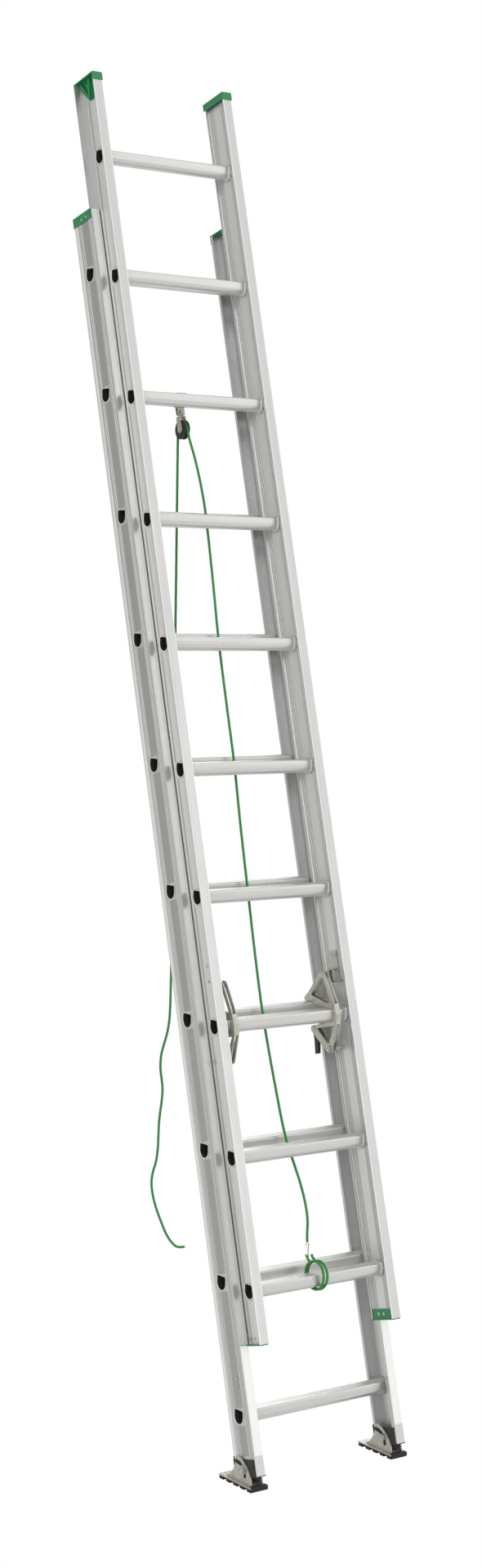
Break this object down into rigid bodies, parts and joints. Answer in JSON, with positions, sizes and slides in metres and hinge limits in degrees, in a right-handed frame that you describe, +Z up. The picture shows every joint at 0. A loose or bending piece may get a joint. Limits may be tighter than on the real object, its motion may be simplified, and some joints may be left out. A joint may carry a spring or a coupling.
{
  "type": "extension ladder",
  "caption": "Two-section extension ladder with D-shaped rungs, spring rung locks, swivel shoes, green end caps and a rope over a pulley.",
  "frame": {"origin": "on the floor, midway between the two shoe bolts", "axes": "+X to the climber's right, -Y towards the climber, +Z up; the ladder leans 14.5 degrees from the vertical towards +Y"},
  "size_m": [0.4598, 0.8612, 3.3065],
  "materials": {
    "mill_aluminium": "mill finish, drawn along the rail",
    "rung_aluminium": "satin",
    "green_plastic": "moulded",
    "black_plastic": "moulded",
    "black_rubber": "matte",
    "zinc_steel": "zinc plated",
    "rivet_steel": "plain",
    "sheave_plastic": "moulded",
    "green_rope": "laid cord"
  },
  "bodies": {
    "base": {"base_rail_left": "mill_aluminium", "base_rail_right": "mill_aluminium", "base_rung_01": "rung_aluminium", "base_rung_02": "rung_aluminium", "base_rung_03": "rung_aluminium", "base_rung_04": "rung_aluminium", "base_rung_05": "rung_aluminium", "base_rung_06": "rung_aluminium", "base_rung_07": "rung_aluminium", "base_rung_08": "rung_aluminium", "base_rung_09": "rung_aluminium", "base_rung_10": "rung_aluminium", "base_top_cap_left": "green_plastic", "base_top_cap_right": "green_plastic", "base_rivets": "rivet_steel", "shoe_bolt_left": "rivet_steel", "shoe_bolt_right": "rivet_steel", "rail_boot_left": "black_plastic", "rail_boot_right": "black_plastic", "pulley_strap": "zinc_steel", "pulley_bolt": "zinc_steel", "rope_run": "green_rope", "rope_tail": "green_rope"},
    "fly": {"fly_rail_left": "mill_aluminium", "fly_rail_right": "mill_aluminium", "fly_rung_01": "rung_aluminium", "fly_rung_02": "rung_aluminium", "fly_rung_03": "rung_aluminium", "fly_rung_04": "rung_aluminium", "fly_rung_05": "rung_aluminium", "fly_rung_06": "rung_aluminium", "fly_rung_07": "rung_aluminium", "fly_rung_08": "rung_aluminium", "fly_rung_09": "rung_aluminium", "fly_rung_10": "rung_aluminium", "fly_top_cap_left": "green_plastic", "fly_top_cap_right": "green_plastic", "fly_bottom_cap_left": "green_plastic", "fly_bottom_cap_right": "green_plastic", "fly_rivets": "rivet_steel", "lock_guide_left": "zinc_steel", "lock_guide_right": "zinc_steel", "lock_spring_left": "rivet_steel", "lock_spring_right": "rivet_steel", "lock_pin_left": "rivet_steel", "lock_pin_right": "rivet_steel", "rope_hitch": "green_rope", "rope_clip": "rivet_steel"},
    "lock_left": {"lock_body_left": "zinc_steel"},
    "finger_left": {"lock_finger_left": "black_plastic"},
    "shoe_left": {"shoe_left": "zinc_steel", "shoe_pad_left": "black_rubber"},
    "lock_right": {"lock_body_right": "zinc_steel"},
    "finger_right": {"lock_finger_right": "black_plastic"},
    "shoe_right": {"shoe_right": "zinc_steel", "shoe_pad_right": "black_rubber"},
    "block": {"pulley_block": "zinc_steel", "pulley_axle": "zinc_steel"},
    "sheave": {"pulley_sheave": "sheave_plastic"}
  },
  "joints": [
    {"name": "fly_slide", "type": "slide", "parent": "base", "child": "fly", "axis": [0, 0.2504, 0.9681], "range_m": [0, 1.8288], "deforming": ["rope_run"]},
    {"name": "lock_swing_left", "type": "hinge", "parent": "fly", "child": "lock_left", "pos_m": [-0.154, 0.17677, 0.95396], "axis": [1, 0, 0], "range_deg": [0, 20], "stiffness_Nm_per_rad": 0.4, "springref_deg": -11.46},
    {"name": "finger_swing_left", "type": "hinge", "parent": "lock_left", "child": "finger_left", "pos_m": [-0.15, 0.24006, 0.99502], "axis": [1, 0, 0], "range_deg": [0, 60], "stiffness_Nm_per_rad": 0.02},
    {"name": "shoe_swivel_left", "type": "hinge", "parent": "base", "child": "shoe_left", "pos_m": [-0.2052, 0, 0.0428], "axis": [-1, 0, 0], "range_deg": [-3, 25]},
    {"name": "lock_swing_right", "type": "hinge", "parent": "fly", "child": "lock_right", "pos_m": [0.154, 0.17677, 0.95396], "axis": [1, 0, 0], "range_deg": [0, 20], "stiffness_Nm_per_rad": 0.4, "springref_deg": -11.46},
    {"name": "finger_swing_right", "type": "hinge", "parent": "lock_right", "child": "finger_right", "pos_m": [0.15, 0.24006, 0.99502], "axis": [1, 0, 0], "range_deg": [0, 60], "stiffness_Nm_per_rad": 0.02},
    {"name": "shoe_swivel_right", "type": "hinge", "parent": "base", "child": "shoe_right", "pos_m": [0.2052, 0, 0.0428], "axis": [-1, 0, 0], "range_deg": [-3, 25]},
    {"name": "pulley_swing", "type": "hinge", "parent": "base", "child": "block", "pos_m": [0, 0.63562, 2.48856], "axis": [0, -0.9681, 0.2504], "range_deg": [-12, 12], "deforming": ["rope_tail"]},
    {"name": "sheave_spin", "type": "hinge", "parent": "block", "child": "sheave", "pos_m": [0, 0.62435, 2.44499], "axis": [1, 0, 0], "continuous": true}
  ]
}
